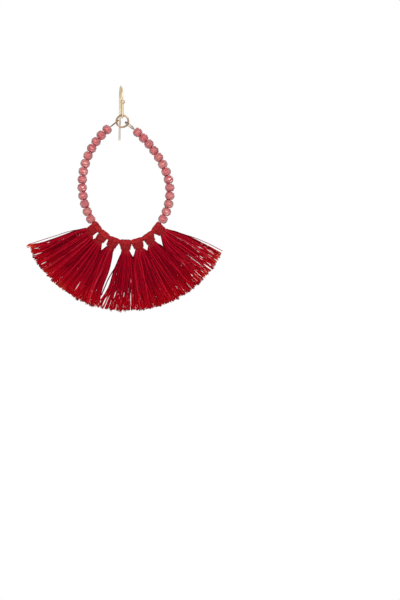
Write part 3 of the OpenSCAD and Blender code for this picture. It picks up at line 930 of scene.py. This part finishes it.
class Leg:
    """One half of a looped thread: from the wire down through the neck to its cut end.

    Places go from 0 to 1 across a tassel, shares from 0 at the binding to 1 at the cut ends, and depths
    from 0 in the middle to 1 at the front or the back."""

    def __init__(self, rng, hang, along, layer, side):
        self.hang = hang
        self.side = side
        self.top_place = 0.5 + along / 2
        rounding = 1 - LOOP_ROUNDING * abs(along) ** 4
        self.loop_r = LAYER_RADII[layer] * rounding * rng.uniform(*LOOP_SPREAD)
        self.place = 0.5 + along / 2 * SKIRT_SPREAD + rng.gauss(0, PLACE_SD)
        if hang.open_low:
            self.place = max(0.0, self.place)
        if hang.open_high:
            self.place = min(1.0, self.place)
        neck_place = lerp(self.top_place, self.place, NECK_BETWEEN)
        self.neck_place = clamp(neck_place, NECK_MARGIN, 1 - NECK_MARGIN)
        room = math.sqrt(1 - (2 * self.neck_place - 1) ** 2) * (NECK_T / 2 - NECK_THREAD_R)
        self.neck_y = side * room * (layer + NECK_LAYER) / HEAD_LAYERS
        self.clump = hang.clump(self.place)
        depth = (layer + 0.5) / HEAD_LAYERS + rng.gauss(0, DEPTH_SD)
        self.depth = clamp(depth, DEPTH_LEAST, 1.0)
        self.stray = rng.gauss(0, STRAY_SD)
        self.stray += (rng.random() < FAR_CHANCE) * rng.gauss(0, FAR_SD)
        self.reach = REACH + rng.gauss(0, REACH_SD) + hang.reaches[self.clump]
        self.reach -= (rng.random() < SHORT_CHANCE) * rng.uniform(*SHORT_BY)
        self.bow = rng.gauss(0, BOW_SD)
        self.wave = rng.uniform(*WAVE)
        self.wave_turns = rng.uniform(*WAVE_TURNS)
        self.wave_start = rng.uniform(0, math.tau)
        streak = hang.streaks[int(clamp(self.place, 0, 0.999) * STREAKS)]
        # Painted shade on inner threads, and painted light on outer ones
        painted_shade = DEPTH_SHADE * (SHADE_FROM - self.depth)
        own = rng.gauss(0, TONE_SD)
        self.tone = clamp(hang.tone + hang.tones[self.clump] + streak + own - painted_shade)
        self.loose = None
        if rng.random() < TOP_CHANCE and layer == HEAD_LAYERS - 1:
            self.stray = rng.choice((-1, 1)) * rng.uniform(*TOP_STRAY)
            self.depth = TOP_DEPTH
            self.tone = rng.choice(TOP_TONES) + rng.uniform(*TOP_TONE_SHIFT)

    def set_loose(self, number):
        """Run alone along the outer edge of the fringe."""
        places = LEFT_LOOSE if self.hang.index == 1 else RIGHT_LOOSE
        self.loose = places[number % len(places)]
        self.tone = LOOSE_TONE
        self.depth = LOOSE_DEPTH
        self.reach = LOOSE_REACH

    def place_at(self, radius, share):
        """Place across the tassel on the way to the cut end."""
        if share <= 0:
            down = ramp_up(radius, FAN_MIDDLE, FAN_MIDDLE + NECK_RUN)
            return lerp(self.top_place, self.neck_place, down)
        hang = self.hang
        gathered = hang.gather * ramp_up(share, GATHER_FROM, 1.0)
        place = lerp(self.place, hang.places[self.clump], gathered)
        place = hang.keep_in(place + self.stray * share)
        return lerp(self.neck_place, place, ramp_up(share, 0, PLACE_FROM))

    def angle_at(self, radius, share, place):
        """Degrees about the fan's middle at a place across the tassel, moved by bow, wave and chinks."""
        hang = self.hang
        room = math.degrees(side_room(radius) / radius)
        if self.loose is not None:
            line, band = (LINES[0], LEFT_BAND) if hang.index == 1 else (LINES[-1], RIGHT_BAND)
            inward = 1 if hang.index == 1 else -1
            return look_up(line, radius) + inward * self.loose * look_up(band, radius) + inward * room
        low, high = edges(hang.index, radius)
        width = math.radians(high - low) * radius
        drift = self.bow * math.sin(math.pi * clamp(share)) * BOW_SHARE
        drift += self.wave * clamp(share) * math.sin(self.wave_turns * math.tau * share + self.wave_start)
        inside = clamp(place / CALM_SIDE) * clamp((1 - place) / CALM_SIDE)
        aside = drift * inside + hang.push(place, share, width)
        return lerp(low + room, high - room, place) + math.degrees(aside / radius)

    def path(self):
        """Points from the wire to the cut end, with their radii and looks."""
        points = []
        radii = []
        looks = []
        stops = [(radius, 0.0) for radius in NECK_RADII]
        for step in range(SKIRT_STEPS + 1):
            share = self.reach * (step / SKIRT_STEPS) ** STEP_GROWTH
            stops.append((lerp(WRAP_FOOT_R, FAN_R, share), share))
        for radius, share in stops:
            place = self.place_at(radius, share)
            off_middle = abs(2 * place - 1)
            crown = math.sqrt(1 - CROWN * clamp(off_middle) ** 2)
            half = look_up(SKIRT_THICKNESS, share) * SKIRT_T / 2 * crown - THREAD_R
            under = ramp_up(radius, FAN_MIDDLE + HEAD_L / 2, WRAP_TOP_R + WRAP_THREAD_D / 2)
            y = lerp(self.side * self.loop_r, self.neck_y, under)
            y = lerp(y, self.side * self.depth * half, ramp_up(share, 0.0, DEPTH_FROM))
            points.append(fan_point(self.angle_at(radius, share, place), radius, y))
            thin = under * (1 - ramp_up(share, 0.0, FULL_FROM))
            full = lerp(HEAD_THREAD_R, THREAD_R, clamp(share / FULL_FROM))
            radii.append(lerp(full, NECK_THREAD_R, thin))
            # Painted shade on the sides of a skirt near its top
            near_side = ramp_up(off_middle, 1 - EDGE_WIDTH, 1.0)
            shade = EDGE_SHADE * near_side * (1 - ramp_up(share, *EDGE_END))
            looks.append((clamp(self.tone - shade), share, self.hang.glow(place, share)))
        return points, radii, looks


def add_loop(threads, rng, hang, along, layer, loose):
    """A thread that comes up through the neck, turns over the wire and goes down again behind."""
    legs = [Leg(rng, hang, along, layer, side) for side in (-1, 1)]
    halves = []
    for leg in legs:
        if loose:
            leg.set_loose(hang.loose)
            hang.loose += 1
        halves.append(leg.path())
    front = legs[0]
    top_place = front.place_at(FAN_MIDDLE, 0.0)
    angle = front.angle_at(FAN_MIDDLE, 0.0, top_place)
    over = []
    for turn in OVER_TURNS:
        up = front.loop_r * hang.rise / LAYER_RADII[-1] * math.sin(math.radians(turn))
        y = -front.loop_r * math.cos(math.radians(turn))
        over.append(fan_point(angle, FAN_MIDDLE - up, y))
    top_look = (front.tone, 0.0, 0.0)
    middles = (over, [HEAD_THREAD_R] * len(over), [top_look] * len(over))
    path, radii, looks = (
        halves[0][part][::-1] + middle + halves[1][part] for part, middle in enumerate(middles)
    )
    threads.add(path, radii, THREAD_SIDES, looks)


# A two-ply strand that has come loose and lies across the open slit: radius, degrees
STRAND_TASSEL = 4
STRAND_ROWS = ((21, -7.0), (25.8, -10.4), (28.5, -12.7), (30.7, -13.9), (34.1, -14.8), (37.8, -15.6))
STRAND_Y = -0.4 * SKIRT_T
STRAND_R = 0.3
STRAND_PLY_R = 0.15
STRAND_PITCH = 1.2
STRAND_STEPS = 60
# Shifts between which its line is averaged, to round its bends
STRAND_SMOOTHING = (-1, -0.5, 0, 0.5, 1)
STRAND_LOOK = (0.0, 0.3, 0.0)


def add_strand(threads):
    path = []
    for step in range(STRAND_STEPS + 1):
        radius = lerp(STRAND_ROWS[0][0], STRAND_ROWS[-1][0], step / STRAND_STEPS)
        near = [look_up(STRAND_ROWS, radius + shift) for shift in STRAND_SMOOTHING]
        path.append(fan_point(sum(near) / len(near), radius, STRAND_Y))
    for line in plies(path, STRAND_R, STRAND_PITCH):
        threads.add(line, [STRAND_PLY_R] * len(line), THREAD_SIDES, [STRAND_LOOK] * len(line))


def add_tassel(index, material):
    """The threads of a tassel, in columns along the wire and layers over it."""
    rng = random.Random(THREAD_SEEDS[index - 1])
    hang = Hang(rng, index)
    threads = ThreadMesh(hang.glint_amount)
    columns = hang.loops // HEAD_LAYERS
    for layer in range(HEAD_LAYERS):
        for column in range(columns):
            along = 2 * (column + 0.5 + rng.uniform(*COLUMN_SHIFT)) / columns - 1
            outermost = (index == 1 and column == 0) or (index == TASSELS and column == columns - 1)
            add_loop(threads, rng, hang, along, layer, outermost)
    if index == STRAND_TASSEL:
        add_strand(threads)
    piece = threads.build(f"tassel_threads_{index}", material, "drop")
    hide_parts(f"tassel_{index}")


WRAP_SEED = 8000
WRAP_TONES = (0.35, 0.65)
# Painted shade on the binding's sides
WRAP_SIDE_SHADE = 0.75
# Distance between the points of a binding
WRAP_POINTS = 0.11
PLY_PITCH = 1.7
# How far apart the plies lie and how thick they are, by the whole thread's radius. They press together.
PLY_SPREAD = 1.06
PLY_R_SHARE = 0.62


def add_binding(index, material):
    """Two-ply thread wound round the neck."""
    rng = random.Random(WRAP_SEED + index)
    thread_r = WRAP_THREAD_D / 2
    half_t = NECK_T / 2 + WRAP_GAP
    steps = math.ceil(WRAP_TURNS * math.pi * (TASSEL_PITCH + NECK_T) / 2 / WRAP_POINTS)
    start = rng.uniform(0, math.tau)
    path = []
    for step in range(steps + 1):
        share = step / steps
        turn = start + share * WRAP_TURNS * math.tau
        radius = lerp(WRAP_TOP_R, WRAP_FOOT_R, share)
        low, high = edges(index, radius)
        wide = math.radians(high - low) / 2 * radius - thread_r
        angle = (low + high) / 2 + math.degrees(wide * math.cos(turn) / radius)
        path.append(fan_point(angle, radius, (half_t + thread_r) * math.sin(turn)))
    binding = ThreadMesh()
    for line in plies(path, thread_r * PLY_SPREAD, PLY_PITCH):
        tone = rng.uniform(*WRAP_TONES)
        looks = []
        for point in line:
            # Painted shade where the binding turns round the neck's sides
            side = 1 - clamp(abs(point.y) / half_t)
            looks.append((clamp(tone - WRAP_SIDE_SHADE * side), 0.0, 0.0))
        binding.add(line, [thread_r * PLY_R_SHARE] * len(line), THREAD_SIDES, looks)
    piece = binding.build(f"tassel_binding_{index}", material, "drop")
    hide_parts(f"tassel_wrap_{index}")


# Wire

WIRE_SIDES = 14
EYE_STEPS = 20
HOOP_STEPS = 220
BARE_LOOK = (0.0, 0.0, 0.0)
# Painted red light and shade from the beads on the wire between them
STRUNG_LOOK = (0.0, 0.85, 0.0)
# The right eye is darker a little all round, and fully at its tip
DARKENED_LEAST = 0.15
DARKENED_STEPS = 4


def eye_path(end, way, stem_l, turn):
    """Closed centre line of an eye, which goes round the ring's wire in line with its end of the hoop."""
    start = Vector((end[0], 0, end[1])) + HOOP_AT
    out = Vector((way[0], 0, way[1]))
    to_ring = RING_AT - start
    ahead = to_ring.dot(out)
    span = ahead - math.sqrt(ahead ** 2 - to_ring.length_squared + RING_R ** 2)
    reach = span - stem_l
    end_r = EYE_W / 2
    past_ring = RING_WIRE_R + HOOP_WIRE_D / 2 + EYE_PLAY
    crossing = start + out * span
    upright = Vector((-way[1], 0, way[0]))
    turned = math.radians(turn)
    wide = upright * math.sin(turned) - Vector((0, math.cos(turned), 0))
    path = []
    for middle, first in ((end_r - past_ring, 90), (reach - end_r, -90)):
        for step in range(EYE_STEPS + 1):
            angle = math.radians(first + step * 180 / EYE_STEPS)
            back = middle + end_r * math.cos(angle)
            path.append(crossing - out * back + wide * (end_r * math.sin(angle)))
    return path


def add_hoop(material):
    """The hoop's strung wire with its stems, and the eye at each end."""
    left = (-math.cos(math.radians(LEFT_END[2])), -math.sin(math.radians(LEFT_END[2])))
    right = (math.cos(math.radians(RIGHT_END[2])), math.sin(math.radians(RIGHT_END[2])))
    path = []
    for step in range(HOOP_STEPS + 1):
        x, z, _ = on_hoop(HALF_STRING * (2 * step / HOOP_STEPS - 1))
        path.append(HOOP_AT + Vector((x, 0, z)))
    path.insert(0, path[0] + Vector((left[0], 0, left[1])) * LEFT_STEM_L)
    path.append(path[-1] + Vector((right[0], 0, right[1])) * RIGHT_STEM_L)
    wire = ThreadMesh()
    radius = HOOP_WIRE_D / 2
    bare_ends = [BARE_LOOK] * 2
    looks = bare_ends + [STRUNG_LOOK] * (len(path) - 4) + bare_ends
    wire.add(path, [radius] * len(path), WIRE_SIDES, looks)

    left_eye = eye_path(LEFT_END, left, LEFT_STEM_L, LEFT_EYE_TURN)
    wire.add(left_eye, [radius] * len(left_eye), WIRE_SIDES, [BARE_LOOK] * len(left_eye), closed=True)

    right_eye = eye_path(RIGHT_END, right, RIGHT_STEM_L, RIGHT_EYE_TURN)
    looks = []
    for k in range(len(right_eye)):
        near_tip = math.exp(-((k - EYE_STEPS / 2) / DARKENED_STEPS) ** 2)
        looks.append((lerp(DARKENED_LEAST, 1.0, near_tip), 0.0, 0.0))
    wire.add(right_eye, [radius] * len(right_eye), WIRE_SIDES, looks, closed=True)

    piece = wire.build("hoop", material, "drop")
    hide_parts("hoop_wire")


# Solids that keep their shape

BEAD_SEED = 90
# In metres
BEAD_WELD = 0.000002
BEAD_BEVEL = 0.00006


def dress(name, material):
    """Give a solid its material."""
    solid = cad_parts[name]
    solid.data.materials.clear()
    solid.data.materials.append(material)
    return solid


def dress_beads(material):
    """Give each bead the material, a colour of its own for it to read, and slightly rounded edges."""
    rng = random.Random(BEAD_SEED)
    for side in ("left", "right"):
        for number in range(1, SIDE_BEADS + 1):
            bead = dress(f"bead_{side}_{number:02d}", material)
            bead.color = (rng.random(), rng.random(), rng.random(), 1)
            weld = bead.modifiers.new("weld", "WELD")
            weld.merge_threshold = BEAD_WELD
            bevel = bead.modifiers.new("bevel", "BEVEL")
            bevel.width = BEAD_BEVEL
            bevel.segments = 2
            bevel.limit_method = "ANGLE"
            bevel.angle_limit = math.radians(12)
            bevel.harden_normals = True


add_studio()
hook_gold = gold_material(
    "hook_gold",
    patch_tone=(0.84, 0.68, 0.43),
    plain=(0.93, 0.78, 0.52),
    bright=(0.97, 0.87, 0.66),
    roughness=0.45,
    extra_tint=hook_tail_and_ball,
)
ring_gold = gold_material(
    "ring_gold",
    patch_tone=(0.30, 0.185, 0.115),
    plain=(0.43, 0.29, 0.19),
    bright=(0.56, 0.40, 0.27),
    roughness=0.33,
)
thread = thread_material(
    "thread",
    dark=(0.10, 0.0, 0.004),
    plain=(0.28, 0.0, 0.009),
    light=(0.56, 0.006, 0.024),
    painted_sheen=(0.66, 0.06, 0.08),
    lit_tip=(0.60, 0.002, 0.006),
    glow=(0.85, 0.09, 0.03),
    head=(0.39, 0.017, 0.022),
    patch_tone=(0.50, 0.045, 0.040),
)
wrap_thread = thread_material(
    "wrap_thread",
    dark=(0.10, 0.002, 0.005),
    plain=(0.28, 0.010, 0.015),
    light=(0.46, 0.030, 0.028),
    painted_sheen=(0.50, 0.05, 0.045),
    lit_tip=(0.4, 0.01, 0.01),
    glow=(0.6, 0.05, 0.03),
    head=(0.34, 0.013, 0.020),
    patch_tone=(0.44, 0.035, 0.035),
)
dress("ear_hook", hook_gold)
dress("jump_ring", ring_gold)
dress_beads(bead_material())
add_hoop(ring_gold)
for tassel in range(1, TASSELS + 1):
    add_tassel(tassel, thread)
    add_binding(tassel, wrap_thread)
